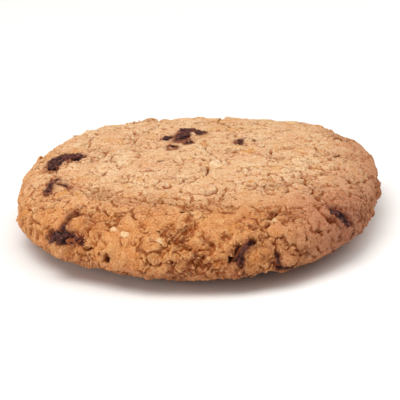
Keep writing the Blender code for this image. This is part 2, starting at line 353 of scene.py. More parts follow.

# %% [markdown]
# Smooth bulges and crumbly ground
#
# The skin isn't equally rough all over. Where the dough rose as one lump, its skin is smooth and
# rounded. Between the lumps, along the cracks and in a band over the near shoulder it has broken
# up into crumbs, and over some raisins it is dark, porous and wet with their juice. Each place is
# given one by one at a bearing and a climb on the skin, because noise alone would put it anywhere.

# %% Smooth bulges
def spans_away(bearing, climb, reach):
    """Each point's distance from a place on the skin, over a reach in mm."""
    return np.linalg.norm(wandering - skin_place(bearing, climb), axis=1) / (reach * MM)


# Bearing and climb in degrees, reach and lift in mm
BULGES = (
    (221.5, 30.0, 8.5, 0.35),
    (243.5, 9.0, 4.6, 0.55),
    (254.0, 7.0, 5.6, 0.75),
    (263.0, 8.0, 3.6, 0.7),
    (276.5, 29.0, 7.5, 0.6),
    (285.5, 1.0, 3.6, 0.6),
    (290.5, 21.0, 7.0, 0.75),
    (304.5, 3.0, 7.0, 0.6),
    (316.0, -4.0, 5.0, 0.4),
    (345.0, 40.0, 8.0, 0.25),
    (168.0, 22.0, 7.0, 0.35),
    (60.0, 12.0, 8.0, 0.5),
    (88.0, 14.0, 7.0, 0.5),
    (143.0, 10.0, 7.0, 0.5),
    (20.0, 8.0, 7.0, 0.5),
)
bulge, smoothed = np.zeros(len(start)), np.zeros(len(start))
for bearing, climb, reach, lift in BULGES:
    out = spans_away(bearing, climb, reach)
    bulge = np.maximum(bulge, lift * MM * np.sqrt(np.clip(1.0 - out**2, 0.0, 1.0)))
    smoothed = np.maximum(smoothed, 1.0 - smooth_step(0.7, 1.0, out))
print("smooth share of the skin:", round(float((smoothed > 0.5).mean()), 2))

# %% Broken ground
# Bearing and climb in degrees, reach in mm and how broken the skin is
BROKEN = (
    (248.5, 57.5, 7.0, 0.6),
    (236.5, 58.5, 5.5, 0.6),
    (224.0, 54.5, 5.0, 0.9),
    (278.0, 56.0, 7.5, 0.55),
    (237.5, 36.0, 6.0, 0.7),
    (232.5, 20.0, 4.0, 0.9),
    (263.8, 31.0, 6.0, 1.0),
    (270.0, 7.0, 4.2, 1.2),
    (264.5, -2.0, 3.5, 1.2),
    (277.0, 0.0, 3.5, 1.2),
    (291.0, 39.0, 4.5, 0.8),
    (300.7, 37.7, 5.5, 0.7),
    (223.0, -8.0, 6.0, 0.8),
    (206.0, 50.0, 6.0, 0.6),
    (110.0, 25.0, 9.0, 0.9),
    (30.0, 30.0, 9.0, 0.9),
    (0.0, 0.0, 6.0, 0.8),
    (330.0, 15.0, 8.0, 0.45),
    (345.0, 48.0, 6.0, 0.3),
    (322.0, 45.0, 5.0, 0.35),
    (312.0, 6.0, 6.0, 0.5),
    (75.0, -5.0, 7.0, 0.9),
    (155.0, -5.0, 7.0, 0.9),
)
broken = np.zeros(len(start))
for bearing, climb, reach, share in BROKEN:
    fade = 1.0 - smooth_step(0.35, 1.0, spans_away(bearing, climb, reach))
    broken = np.maximum(broken, share * fade)
print("broken places:", len(BROKEN))

# %% Dark reddish porous ground, wet with the juice of a raisin below, and broad painted shade on the near right
# Bearing and climb in degrees, reach in mm and share
SCORCHED_AND_SHADED = (
    (262.0, 4.5, 2.6, 0.8),
    (267.0, 4.0, 3.4, 0.75),
    (271.5, 3.5, 2.6, 0.75),
    (225.8, 26.0, 2.0, 1.5),
    (226.8, 35.5, 2.0, 1.6),
    (242.9, 3.3, 1.5, 0.9),
    (314.8, 34.0, 2.0, 1.6),
    (317.8, 29.5, 2.2, 1.7),
    (279.5, 13.0, 3.0, 0.8),
    (281.0, -6.0, 2.4, 0.9),
    (289.5, 1.0, 2.4, 0.8),
    (286.0, 24.0, 2.6, 0.7),
    (292.0, 14.0, 2.2, 0.6),
    # These four are broad darkenings of the near right flank, painted shade
    (284.0, 33.0, 3.8, 0.65),
    (287.0, 10.0, 3.4, 0.65),
    (300.0, -6.0, 4.5, 0.6),
    (311.0, -6.0, 4.5, 0.55),
    (252.0, 6.0, 1.6, 0.6),
    (48.0, 22.0, 3.0, 0.8),
    (127.0, 12.0, 3.0, 0.8),
)
scorched_and_shaded = np.zeros(len(start))
spotty = 0.3 + 0.7 * smooth_step(-0.1, 0.25, noise_at(start, 1.1 * MM, 71.0))
for bearing, climb, reach, share in SCORCHED_AND_SHADED:
    fade = 1.0 - smooth_step(0.35, 1.0, spans_away(bearing, climb, reach))
    scorched_and_shaded = np.maximum(scorched_and_shaded, share * spotty * fade)
print("scorched share of the skin:", round(float((scorched_and_shaded > 0.3).mean()), 3))

# %% How crumbly each point is
scattered_break = smooth_step(0.15, 0.5, fractal_at(start, 7.0 * MM, 3, 11.0)) * (0.3 + 0.35 * steepness)
seam_break = 0.6 * plates[:, 2] * torn
crumbly = np.clip(np.maximum.reduce([scattered_break, broken, seam_break, near_crack]), 0.0, 1.2)
crumbly = np.maximum(crumbly * (1.0 - 0.7 * smoothed), scorched_and_shaded)
print("crumbly share of the skin:", round(float((crumbly > 0.4).mean()), 2))

# %% Rolled oats in the skin
FLAKE_COUNT, FLAKE_SEED = 150, 11
FLAKE_LENGTH, FLAKE_WIDTH = (2.6 * MM, 4.2 * MM), (1.9 * MM, 3.0 * MM)
FLAKE_LIFT, FLAKE_TILT = (0.1 * MM, 0.5 * MM), 0.3 * MM
BIT_COUNT, BIT_SEED = 1700, 5
BIT_LENGTH, BIT_WIDTH = (0.6 * MM, 1.7 * MM), (0.45 * MM, 1.1 * MM)
BIT_LIFT, BIT_TILT = (0.02 * MM, 0.24 * MM), 0.2 * MM


def scattered(count, seed, length, width, lift, tilt):
    """Ovals lying in the skin: middle, two axes over their half sizes, lift, tilt and reach."""
    draw = random.Random(seed)
    ovals = []
    while len(ovals) < count:
        bearing = draw.uniform(0.0, 2.0 * math.pi)
        climb = math.asin(draw.uniform(-0.55, 1.0))
        middle, normal = skin_point(bearing, climb), skin_normal(bearing, climb)
        level = normal.orthogonal().normalized()
        level.rotate(Matrix.Rotation(draw.uniform(0.0, math.pi), 3, normal))
        across = normal.cross(level)
        half_length = draw.uniform(*length)
        half_width = draw.uniform(*width)
        rise, lean = draw.uniform(*lift), draw.uniform(-tilt, tilt)
        ovals.append((middle, level / half_length, across / half_width, rise, lean, half_length))
    return ovals


def lay_ovals(relief, tone, ovals, rim, seed):
    """Lays ovals over the relief, the higher one showing, and marks each with its own tone."""
    draw = random.Random(seed)
    for middle, level, across, rise, lean, reach in ovals:
        own_tone = 0.06 + 0.84 * draw.random()
        near = np.array([index for _, index, _ in nearest.find_range(middle, 1.5 * reach)], dtype=int)
        if not len(near):
            continue
        offsets = ragged[near] - np.array(middle)
        along, aside = offsets @ np.array(level), offsets @ np.array(across)
        out = np.hypot(along, aside)
        crease = 0.12 * MM * np.exp(-((aside / 0.12) ** 2)) * (reach > 2.0 * MM)
        top = rise + lean * along - crease - rim * smooth_step(0.82, 1.05, out)
        higher = (out < 1.05) & (top > relief[near])
        relief[near[higher]] = top[higher]
        tone[near[higher]] = own_tone


# %% Single oats that stand out
# Bearing, climb and turn in degrees, half length, half width and lift in mm, and tone, from 0,
# toasted orange, to 1, cream
SINGLE_OATS = (
    (270.0, 69.9, 4.0, 3.5, 2.6, 0.65, 0.55),
    (6.8, 82.0, 95.0, 2.0, 1.3, 0.45, 0.0),
    (208.9, 43.2, 70.0, 1.6, 1.0, 0.5, 0.0),
    (284.8, 3.5, 10.0, 1.7, 1.5, 0.4, 0.1),
    (172.1, 60.1, 80.0, 1.3, 0.9, 0.5, 0.0),
    (76.5, 55.6, 0.0, 2.4, 1.6, 0.3, 0.05),
    (84.0, 43.0, 0.0, 2.2, 1.3, 0.3, 0.1),
    (307.9, 86.1, 60.0, 2.3, 1.9, 0.3, 0.9),
    (242.8, 29.2, 0.0, 1.3, 0.7, 0.35, 1.0),
    (247.0, 26.2, -20.0, 1.2, 0.7, 0.35, 1.0),
    (258.2, 22.7, -30.0, 0.9, 0.7, 0.4, 1.0),
    (255.2, 23.0, 20.0, 0.7, 0.5, 0.4, 0.9),
    (235.9, 61.2, 30.0, 1.8, 1.1, 0.3, 0.1),
    (293.4, 36.5, 0.0, 1.1, 0.8, 0.4, 1.0),
    (317.9, 10.0, 60.0, 1.4, 0.9, 0.3, 0.85),
    (314.8, 26.5, 0.0, 0.8, 0.6, 0.4, 0.2),
    (71.5, 68.6, 10.0, 2.4, 1.7, 0.35, 0.1),
    (64.5, 70.6, -20.0, 1.5, 1.1, 0.4, 0.02),
    (79.0, 70.2, 30.0, 1.4, 1.0, 0.4, 0.05),
)

# %% Lay the oats over the swollen skin
FLAKE_RIM, BIT_RIM, SINGLE_RIM = 0.4 * MM, 0.25 * MM, 0.3 * MM
LARGE_OAT = 3.0  # half length in mm from which an oat has a groove round it
GROOVE_DEPTH = 0.45 * MM
OAT_THICKNESS = 2.0 * MM  # how far from the smooth skin an oat's outline reaches

relief = swelling + 0.4 * LUMP * noise_at(start, LUMP_SPAN) + bulge
tone, calm = np.full(len(start), 0.5), np.ones(len(start))
flakes = scattered(FLAKE_COUNT, FLAKE_SEED, FLAKE_LENGTH, FLAKE_WIDTH, FLAKE_LIFT, FLAKE_TILT)
lay_ovals(relief, tone, flakes, FLAKE_RIM, 21)
bits = scattered(BIT_COUNT, BIT_SEED, BIT_LENGTH, BIT_WIDTH, BIT_LIFT, BIT_TILT)
bits = [(m, l, a, r + float(relief[nearest.find(m)[1]]), t, s) for m, l, a, r, t, s in bits]
lay_ovals(relief, tone, bits, BIT_RIM, 22)
for bearing, climb, turn, length, width, lift, own_tone in SINGLE_OATS:
    middle = skin_point(math.radians(bearing), math.radians(climb))
    normal = skin_normal(math.radians(bearing), math.radians(climb))
    level = Vector((-math.sin(math.radians(bearing)), math.cos(math.radians(bearing)), 0.0))
    level = (level - level.dot(normal) * normal).normalized()
    level.rotate(Matrix.Rotation(math.radians(turn), 3, normal))
    offsets = ragged - np.array(middle)
    along = offsets @ np.array(level) / (length * MM)
    aside = offsets @ np.array(normal.cross(level)) / (width * MM)
    out = np.hypot(along, aside)
    at_skin = np.abs(offsets @ np.array(normal)) < OAT_THICKNESS
    inside = (out < 1.05) & at_skin
    rim = SINGLE_RIM * smooth_step(0.8, 1.05, out[inside])
    relief[inside] = 0.5 * relief[inside] + lift * MM - rim
    if length > LARGE_OAT:
        cut = np.maximum(cut, GROOVE_DEPTH * np.exp(-(((out - 1.06) / 0.07) ** 2)) * at_skin)
    tone[inside] = own_tone
    crumbly[inside] *= 0.3
    calm[inside] = 0.2
share = round(float((tone != 0.5).mean()), 2)
print("oats:", len(flakes), "flakes,", len(bits), "bits; skin under one:", share)

# %% Chips of crust, grains and pores
CHIP_SPAN, CHIP_RISE, CHIP_DEPTH = 3.0 * MM, 0.08 * MM, 0.6 * MM
GRAIN_SPAN, GRAIN_RISE, GRAIN_DEPTH = 1.4 * MM, 0.16 * MM, 0.5 * MM
FINE_SPAN, FINE_RISE = 0.65 * MM, 0.12 * MM
PORE_SPAN, PORE_DEPTH = 0.8 * MM, 0.4 * MM
TOP_SETTLE, FLANK_SETTLE = 0.05 * MM, 0.4 * MM  # take the skin back to the form's mean surface

# Where grains stand up, where chips part from each other, and where their corners are holes
rough = calm * (0.55 + 0.45 * baked)
loose = rough * np.clip(0.2 + 1.1 * crumbly, 0.0, 1.3) * (1.0 - 0.35 * smoothed)
parted = rough * smooth_step(0.15, 0.5, fractal_at(start, 5.0 * MM, 3, 23.0) + 0.5 * crumbly)
chosen = rough * smooth_step(0.15, 0.45, noise_at(start, 2.6 * MM, 61.0) + 0.35 * crumbly)
chip_height, _, chip_gap, chip_hole = chips_at(ragged, CHIP_SPAN, 0.08, 0.2, 3.0)
grain_height, grain_tone, grain_gap, grain_hole = chips_at(ragged, GRAIN_SPAN, 0.2, 0.35, 9.0)
fine_height, fine_tone, fine_gap, _ = chips_at(start, FINE_SPAN, 0.3, 0.5, 15.0)
relief = relief + loose * (CHIP_RISE * chip_height + GRAIN_RISE * grain_height)
relief = relief + FINE_RISE * (0.4 + 0.7 * crumbly) * (fine_height - fine_gap)
relief = relief - TOP_SETTLE - (FLANK_SETTLE - TOP_SETTLE) * steepness

chip_open = np.maximum(parted * chip_gap, chosen * chip_hole)
grain_open = loose * chosen * np.maximum(0.8 * parted * grain_gap, grain_hole)
pore_field = noise_at(start, PORE_SPAN, 17.0)
pore_field = pore_field - 0.49 + 0.12 * crumbly + 0.04 * baked
pores = (0.5 + 0.6 * crumbly) * smooth_step(0.0, 0.2, pore_field)
cut = np.maximum.reduce([cut, CHIP_DEPTH * chip_open, GRAIN_DEPTH * grain_open]) + PORE_DEPTH * pores
gaps = np.clip(np.maximum.reduce([chip_open, grain_open, 0.5 * crumbly * fine_gap, pores]), 0.0, 1.0)
tone = np.clip(tone + 0.5 * crumbly * grain_tone + 0.25 * loose * fine_tone, 0.0, 1.0)
settled = relief - cut
print("mean height, mm: top", round(1000 * float(settled[steepness < 0.2].mean()), 2),
      "flank", round(1000 * float(settled[steepness > 0.8].mean()), 2))

# %% [markdown]
# Openings over the raisins
#
# A baked raisin sits in a hollow with the dough drawn up round it in a ragged lip, and dough often
# covers part of it. So the raisin shows through an opening that is smaller than it, of a shape of
# its own. A ray cast down each point's normal finds how high the raisin stands there: inside the
# opening the dough goes down below it, and outside the dough is laid over it.
#
# The raisins on top are seen at a low angle, so they show only where they reach the dough's level.
# They are grown a little sideways and drawn up to that level for this.

# %% Where each raisin shows, and how the ones on top are seated
RAISIN_NODES = sorted(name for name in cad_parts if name.startswith("raisin"))
# How much a raisin grows sideways, and how far above the smooth skin it then stands, in mm
SEATING = {
    "raisin_top": (1.32, 0.4),
    "raisin_top_small": (1.1, 0.45),
    "raisin_top_right": (1.0, 0.25),
    "raisin_left": (1.05, 0.1),
    "raisin_left_covered": (1.15, 0.15),
}

# Strokes: bearing and climb in degrees of both ends, half width in mm
SHOWING = {
    "raisin_left": (
        (178.5, 42.5, 167.0, 42.5, 1.6),
        (167.0, 42.5, 163.5, 47.0, 1.5),
        (165.0, 47.0, 169.5, 57.0, 1.5),
        (174.5, 45.0, 171.5, 50.0, 1.7),
        (171.5, 50.0, 171.5, 56.0, 1.3),
    ),
    "raisin_left_covered": (
        (202.0, 38.5, 195.5, 42.5, 1.0),
        (192.5, 44.0, 194.0, 47.0, 0.55),
        (198.3, 46.0, 206.5, 49.6, 0.5),
    ),
    "raisin_front_left": (
        (221.6, 8.0, 226.0, 12.0, 1.3),
        (226.0, 11.5, 229.5, 13.0, 1.45),
        (229.0, 10.5, 233.5, 13.0, 0.8),
        (225.9, 18.0, 226.0, 34.0, 0.85),
    ),
    "raisin_top": (
        (118.5, 79.5, 110.0, 80.0, 1.25),
        (109.5, 81.8, 104.0, 79.3, 1.7),
        (102.5, 78.0, 97.0, 74.5, 1.6),
        (97.0, 73.3, 88.5, 76.2, 1.8),
        (107.0, 84.5, 99.0, 83.7, 0.5),
    ),
    "raisin_top_small": ((136.5, 85.1, 132.5, 85.4, 1.0),),
    "raisin_top_right": ((38.0, 81.7, 45.0, 80.0, 0.75), (45.4, 78.1, 37.0, 77.5, 0.4)),
    "raisin_front": (
        (284.1, 18.8, 281.2, 13.3, 0.7),
        (281.2, 13.3, 278.5, 7.0, 0.75),
        (280.4, 6.0, 280.9, 0.6, 0.65),
        (280.9, 0.6, 281.1, -20.0, 0.5),
    ),
    "raisin_front_low": (
        (290.9, 3.5, 290.7, 0.2, 0.6),
        (290.7, 0.2, 292.0, -18.0, 0.75),
        (292.5, -15.0, 297.0, -21.4, 0.5),
    ),
    "raisin_right": (
        (315.6, 24.5, 317.1, 18.5, 1.2),
        (317.1, 18.5, 319.0, 13.0, 1.45),
        (319.0, 13.0, 320.2, 7.0, 0.8),
        (320.2, 7.0, 320.4, -3.0, 0.35),
    ),
    "raisin_back_left": ((131.0, 7.0, 124.0, 13.0, 1.6), (124.0, 13.0, 122.0, 20.0, 1.0)),
    "raisin_back_right": ((51.0, 28.0, 46.0, 20.0, 1.5), (46.0, 20.0, 45.0, 14.0, 0.8)),
}


print("strokes that open the skin:", sum(len(strokes) for strokes in SHOWING.values()))


# %% How a raisin lies
def lying_oval(mesh):
    """A raisin's middle, its long axis, and half its length."""
    corners = np.array([v.co for v in mesh.vertices])
    middle = 0.5 * (corners.min(0) + corners.max(0))
    _, axes = np.linalg.eigh(np.cov((corners - middle).T))
    along = (corners - middle) @ axes[:, 2]
    return middle, axes[:, 2], 0.5 * (along.max() - along.min())


def seated(name, points):
    """A raisin's points, grown along the skin."""
    grow, _ = SEATING.get(name, (1.0, 0.0))
    middle = 0.5 * (points.min(0) + points.max(0))
    normal = outward[nearest.find(middle)[1]]
    offsets = points - middle
    upright = (offsets @ normal)[:, None] * normal
    return middle + upright + grow * (offsets - upright)


# %% Open the dough over each raisin
ABOVE = 6.0 * MM  # where the rays start
CLEARANCE = 0.6 * MM  # between a raisin and the dough under its opening
COVER = 0.3 * MM  # of dough over a raisin beside its opening
STAIN_REACH = 0.8 * MM  # the dough is darker and redder where a raisin wets it
LIP, LIP_REACH = 0.3 * MM, 1.2 * MM

opened = np.zeros(len(start))
# Raisin-juice stains, and painted shade low on the near flank and in the broad near-right darkenings
stain_and_shade = np.maximum(scorched_and_shaded, 0.45 * near_side * smooth_step(0.5, 0.15, start[:, 2] / HEIGHT))
edge_distance = np.full(len(start), 1.0)
edge_bend = 0.5 * MM * noise_at(start, 1.6 * MM, 41.0) + 0.5 * MM * noise_at(start, 0.8 * MM, 43.0)
for name in RAISIN_NODES:
    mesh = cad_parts[name].data
    corners = seated(name, np.array([v.co for v in mesh.vertices]))
    tree = BVHTree.FromPolygons(corners.tolist(), [p.vertices for p in mesh.polygons])
    middle, _, half_length = lying_oval(mesh)
    near = np.array([index for _, index, _ in nearest.find_range(Vector(middle), 1.9 * half_length)])
    beyond = np.full(len(near), 1.0)
    for bearing0, climb0, bearing1, climb1, half in SHOWING[name]:
        first, last = skin_place(bearing0, climb0), skin_place(bearing1, climb1)
        aside, _ = stroke_distance(start[near], first, last)
        beyond = np.minimum(beyond, aside - half * MM + edge_bend[near])
    edge_distance[near] = np.minimum(edge_distance[near], beyond)
    share = 1.0 - smooth_step(-0.15 * MM, 0.15 * MM, beyond)
    lip = LIP * np.exp(-np.maximum(beyond, 0.0) / LIP_REACH) * (1.0 - share)
    stain_and_shade[near] = np.maximum(stain_and_shade[near], np.exp(-np.maximum(beyond, 0.0) / STAIN_REACH))
    if name in SEATING:
        rise = np.clip(relief[near] + 0.1 * MM, 0.0, 1.0)
        lip = -rise * np.exp(-np.maximum(beyond, 0.0) / LIP_REACH)
    for place, index in enumerate(near):
        normal = Vector(outward[index])
        hit, _, _, distance = tree.ray_cast(Vector(start[index]) + normal * ABOVE, -normal, 2 * ABOVE)
        if hit is None:
            relief[index] += lip[place]
            continue
        stands = ABOVE - distance
        if name in SEATING:
            stands += share[place] * max(0.0, SEATING[name][1] * MM - stands)
        cover = COVER * min(1.0, max(0.0, beyond[place] / (0.8 * MM)))
        covered = max(relief[index] + lip[place], stands + cover)
        lowered = min(relief[index], stands - CLEARANCE)
        relief[index] = covered * (1.0 - share[place]) + lowered * share[place]
        opened[index] = max(opened[index], share[place])
        cut[index] = min(cut[index], max(0.0, relief[index] - stands - 0.5 * COVER))
share = round(100 * float((opened > 0.5).mean()), 1)
print("raisins:", len(RAISIN_NODES), "openings cover", share, "% of the skin")

# %% Move the points
FOOT_FADE = 1.4 * MM
FACE_TARGET = 197000
UNDER_PIT_SPAN, UNDER_PIT_DEPTH = 1.8 * MM, 0.5 * MM

whole = relief - cut * (1.0 - opened)
whole = whole * smooth_step(0.0, FOOT_FADE, start[:, 2])
underside = outward[:, 2] < -0.9
under_field = fractal_at(start, UNDER_PIT_SPAN, 4, 51.0)
under_pits = UNDER_PIT_DEPTH * smooth_step(0.12, 0.5, under_field) * underside
moved = start + outward * (whole - under_pits)[:, None]
moved[:, 2] = np.maximum(moved[:, 2], 0.0)
move_points(dough, moved)
skin_normals = normals_of(dough)
print("highest point, mm:", round(1000 * float(moved[:, 2].max()), 2))

# %% Marks for the colours
HOLLOW_ROUNDS, CRISP_ROUNDS = 40, 4  # how far round a point its hollow and its sharp edge are judged

edges = np.empty(2 * len(dough.data.edges), dtype=np.int64)
dough.data.edges.foreach_get("vertices", edges)
edges = edges.reshape(-1, 2)
count = np.bincount(edges.ravel(), minlength=len(start)).astype(float)


def blurred(values, rounds):
    """Values smoothed over the grid by taking each point halfway to its neighbours' mean."""
    for _ in range(rounds):
        total = np.bincount(edges[:, 0], values[edges[:, 1]], len(values))
        total += np.bincount(edges[:, 1], values[edges[:, 0]], len(values))
        values = 0.5 * values + 0.5 * total / count
    return values


height = whole - under_pits
# How far each point lies below or above its surroundings; the dough's colour paints shade into the
# hollows and highlight onto sharp tips from these
hollow = np.clip((blurred(height, HOLLOW_ROUNDS) - height) / (0.5 * MM), -1.0, 1.5)
crisp = np.clip((blurred(height, CRISP_ROUNDS) - height) / (0.12 * MM), -1.0, 1.0)
# Painted shade: a darker, pinker brown on the near right flank and low on the near flank
to_right = smooth_step(0.2, 0.75, start[:, 0] / RADIUS)
to_table = smooth_step(0.55, 0.2, start[:, 2] / HEIGHT)
rosy_shade = near_side * np.maximum(to_right, 0.4 * to_table)
marks = {
    "hollow": hollow,
    "crisp": crisp,
    "tone": blurred(tone, 1),
    "gap": gaps,
    "toast_and_shade": blurred(baked, 20),
    "rosy_shade": rosy_shade,
    "crumbly": blurred(crumbly, 3),
    "stain_and_shade": stain_and_shade,
}
print("marks:", {name: round(float(values.mean()), 2) for name, values in marks.items()})

# %% Thin the mesh and mark it
fine = tree_of(moved)
apply_modifier(dough, "triangles", "TRIANGULATE")
apply_modifier(dough, "thin", "DECIMATE", ratio=FACE_TARGET / len(dough.data.polygons))
thinned = points_of(dough)
thinned[:, 2] = np.maximum(thinned[:, 2], 0.0)
move_points(dough, thinned)


def mark_points(obj, matches):
    """Gives obj's points the skin's marks at the matching points of the grid."""
    for name, values in marks.items():
        attribute = obj.data.attributes.new(name, "FLOAT", "POINT")
        attribute.data.foreach_set("value", values[matches].astype(np.float32))


mark_points(dough, np.array([fine.find(v.co)[1] for v in dough.data.vertices]))
only(dough)
bpy.ops.object.shade_smooth()
box = [round(1000 * v, 2) for v in dough.dimensions]
print("dough:", len(dough.data.polygons), "triangles, box mm", box)

# %% [markdown]
# Painting with layers
#
# Colours are picked as sRGB hex values, as a colour picker on a photograph gives them, and turned
# to the linear values that the renderer works in. A baked crust has no single colour, so a material
# here is a base with thin layers over it, as glazes on a painting. Each layer follows a mark that
# the shape left on the mesh, or a noise of a real size. The layers that follow the hollows, gaps
# and sharp edges of the relief are painted shade and painted highlight.

# %% Material helpers
def linear(hex_colour):
    """An sRGB hex colour as linear RGBA."""
    channels = [int(hex_colour[i : i + 2], 16) / 255.0 for i in (1, 3, 5)]
    return [c / 12.92 if c <= 0.04045 else ((c + 0.055) / 1.055) ** 2.4 for c in channels] + [1.0]


def add_node(tree, kind, links=(), **settings):
    """Adds a node, sets its properties and sockets, and links (socket name or number, source)."""
    node = tree.nodes.new(kind)
    for key, value in settings.items():
        if hasattr(node, key):
            setattr(node, key, value)
        else:
            node.inputs[key.replace("_", " ")].default_value = value
    for socket, source in links:
        tree.links.new(source, node.inputs[socket])
    return node


def new_material(name, roughness, specular=0.5):
    material = bpy.data.materials.new(name)
    material.use_nodes = True
    shader = material.node_tree.nodes["Principled BSDF"]
    shader.inputs["Roughness"].default_value = roughness
    shader.inputs["Specular IOR Level"].default_value = specular
    return material, material.node_tree, shader


# %% Patterns and layers
def patterns(tree, marks, noises):
    """What a layer can follow: marks of the mesh, and noises of a size in mm, detail and roughness."""
    place = add_node(tree, "ShaderNodeTexCoord").outputs["Object"]
    found = {}
    for name in marks:
        found[name] = add_node(tree, "ShaderNodeAttribute", attribute_name=name).outputs["Fac"]
    for name, (size, detail, roughness) in noises.items():
        sizes = {"Scale": 1.0 / (size * MM), "Detail": detail, "Roughness": roughness}
        found[name] = add_node(tree, "ShaderNodeTexNoise", [("Vector", place)], **sizes).outputs["Fac"]
    return found


def painted(tree, found, colour, layers, blend_type="MIX"):
    """Lays layers over a colour and returns the last one's socket.

    A layer is the pattern that it follows, the two levels between which it comes in, how strong it
    gets, and its own colour. Either colour is a hex value or a socket.
    """
    for follows, low, high, strength, paint in layers:
        levels = {"From_Min": low, "From_Max": high, "To_Max": strength}
        share = add_node(tree, "ShaderNodeMapRange", [("Value", found[follows])], **levels)
        blend = {"data_type": "RGBA", "blend_type": blend_type}
        mix = add_node(tree, "ShaderNodeMix", [("Factor", share.outputs["Result"])], **blend)
        for socket, value in ((mix.inputs[6], colour), (mix.inputs[7], paint)):
            if isinstance(value, str):
                socket.default_value = linear(value)
            else:
                tree.links.new(value, socket)
        colour = mix.outputs[2]
    return colour


# %% [markdown]
# Baked oat dough
#
# Flour, oats and sugar brown where they stand out and dry. The cracks, gaps and hollows are painted
# darker and redder, which is painted shade, and sharp tips are painted cream, a painted highlight.
# Single oats come out creamier or more orange than the dough that holds them. Broken ground shows the
# toasted inside, which is more orange than the skin. The flank is browner than the top, partly real
# browning where it faced the hot tray and partly painted shade, and the near rim is painted browner
# as shade.

# %% The dough's patterns
# Baked crust is dry and matt, so it hardly shines, and its crumbs show by their shading
material, tree, shader = new_material("baked_oat_dough", 0.85, 0.12)
DOUGH_MARKS = ("hollow", "crisp", "tone", "gap", "toast_and_shade", "rosy_shade", "crumbly", "stain_and_shade")
# Size of a lump in mm, detail and roughness: grit is the size of a grain of flour or sugar, specks
# of a fine crumb, and patches and mottle of an oat and more
DOUGH_NOISES = {
    "patches": (6.0, 4.0, 0.6),
    "mottle": (2.2, 4.0, 0.65),
    "grainy": (2.0, 3.0, 0.6),
    "hues": (1.3, 4.0, 0.7),
    "freckles": (0.9, 3.0, 0.7),
    "specks": (0.34, 2.0, 0.8),
    "grit": (0.2, 1.0, 0.6),
}
found = patterns(tree, DOUGH_MARKS, DOUGH_NOISES)

# Fine crumbs stand out more in some places than in others
levels = {"From_Min": 0.4, "From_Max": 0.58, "To_Min": 0.5}
grainy = add_node(tree, "ShaderNodeMapRange", [("Value", found["grainy"])], **levels).outputs["Result"]
for name, low, high, strength in (("pale_specks", 0.56, 0.66, 0.9), ("dark_specks", 0.44, 0.33, 0.95)):
    levels = {"From_Min": low, "From_Max": high, "To_Max": strength}
    share = add_node(tree, "ShaderNodeMapRange", [("Value", found["specks"])], **levels)
    links = [(0, share.outputs["Result"]), (1, grainy)]
    found[name] = add_node(tree, "ShaderNodeMath", links, operation="MULTIPLY").outputs[0]
print("patterns in the dough:", sorted(found))

# %% The dough's colours
DOUGH_TAN = "#E3B68A"
OAT_CREAM_AND_HIGHLIGHT = "#F6DDB4"
OAT_ORANGE = "#D4914A"
DOUGH_GOLDEN = "#E0A860"
DOUGH_ROSE = "#D99C78"
TOAST_AND_SHADE_TINT = "#EECFAE"
TOASTED = "#CE8E58"
ORANGE_SPECK_AND_SHADE = "#A45422"
GAP_SHADE_BROWN = "#6E2A10"
GAP_SHADE_GOLDEN = "#8A4E20"
ROSY_SHADE_BROWN = "#B07868"
FRECKLE_AND_SHADE_BROWN = "#4A1A08"
RAISIN_STAIN_AND_SHADE = "#7C3A24"

SKIN_LAYERS = (
    ("patches", 0.48, 0.66, 0.65, DOUGH_ROSE),
    ("tone", 0.6, 1.0, 0.8, OAT_CREAM_AND_HIGHLIGHT),
    ("tone", 0.4, 0.0, 0.8, OAT_ORANGE),
    ("mottle", 0.53, 0.66, 0.65, OAT_ORANGE),
    ("hues", 0.52, 0.66, 0.6, DOUGH_GOLDEN),
    ("hues", 0.46, 0.32, 0.45, DOUGH_ROSE),
    ("mottle", 0.44, 0.3, 0.4, OAT_CREAM_AND_HIGHLIGHT),
    ("crumbly", 0.1, 0.9, 0.4, TOASTED),
    # Painted highlight: sharp tips and edges of the relief are painted cream
    ("crisp", -0.2, -1.0, 0.5, OAT_CREAM_AND_HIGHLIGHT),
    ("pale_specks", 0.0, 1.0, 1.0, OAT_CREAM_AND_HIGHLIGHT),
    ("grit", 0.55, 0.7, 0.6, OAT_CREAM_AND_HIGHLIGHT),
)
colour = painted(tree, found, DOUGH_TAN, SKIN_LAYERS)
# Painted shade: the flank and the near rim are darkened and browned, on the flank partly real browning
colour = painted(tree, found, colour, [("toast_and_shade", 0.0, 1.0, 1.0, TOAST_AND_SHADE_TINT)], "MULTIPLY")
